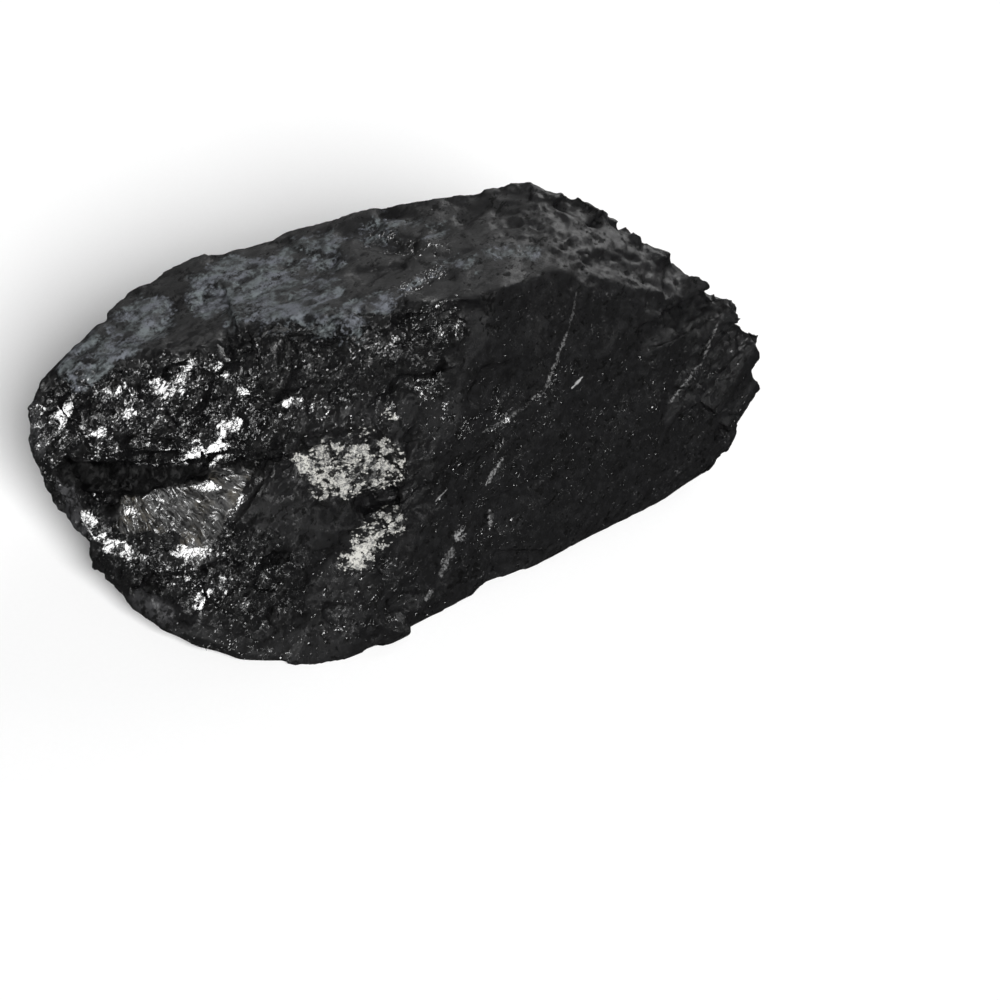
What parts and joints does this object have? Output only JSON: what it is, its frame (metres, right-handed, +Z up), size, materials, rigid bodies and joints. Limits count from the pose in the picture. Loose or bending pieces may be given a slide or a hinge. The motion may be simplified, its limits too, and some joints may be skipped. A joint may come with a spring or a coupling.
{
  "type": "rough black tourmaline (schorl) lump",
  "caption": "Rough lump of black tourmaline with broken faces, stepped ledges and the ends of parallel crystals, resting on a flat break.",
  "frame": {"origin": "on the ground, under the middle of the lump's bounding box", "axes": "+X along the lump's length, towards the end with the crystal ends; +Y towards its back; +Z up"},
  "size_m": [0.1228, 0.0708, 0.0495],
  "materials": {
    "black_tourmaline": "broken crystal faces, glassy to dull, with grey dust on the top and small cream crusts"
  },
  "bodies": {
    "root": {"tourmaline_mass": "black_tourmaline"}
  },
  "joints": []
}
